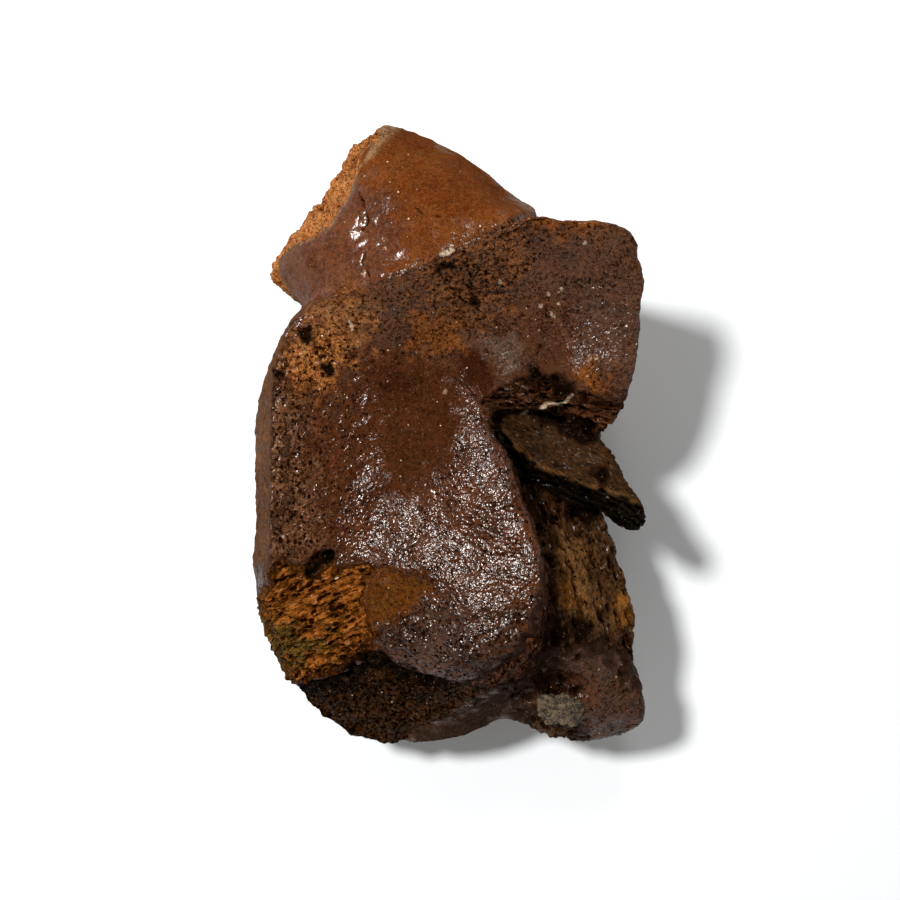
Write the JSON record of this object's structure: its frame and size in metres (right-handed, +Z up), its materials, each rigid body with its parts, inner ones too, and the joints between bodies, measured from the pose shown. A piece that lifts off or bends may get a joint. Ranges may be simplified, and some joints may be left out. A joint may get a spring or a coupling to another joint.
{
  "type": "fossil mammoth leg bone section",
  "caption": "Section of a fossil mammoth leg bone, the elbow end of the forearm bone, lying on its broken face with its worn joint surface up.",
  "frame": {"origin": "middle of the bounding box at its bottom, on the broken flat face that the bone rests on", "axes": "+Y along the longest extent, towards the elbow's point; +X towards the outer side, where the splinter points; +Z up, towards the joint surface"},
  "size_m": [0.1672, 0.2604, 0.1325],
  "materials": {
    "fossil_bone": "glossy on the smooth parts, satin where it is porous",
    "sediment": "matt, crumbly"
  },
  "bodies": {
    "root": {"bone": "fossil_bone", "sediment_crust": "sediment"}
  },
  "joints": []
}
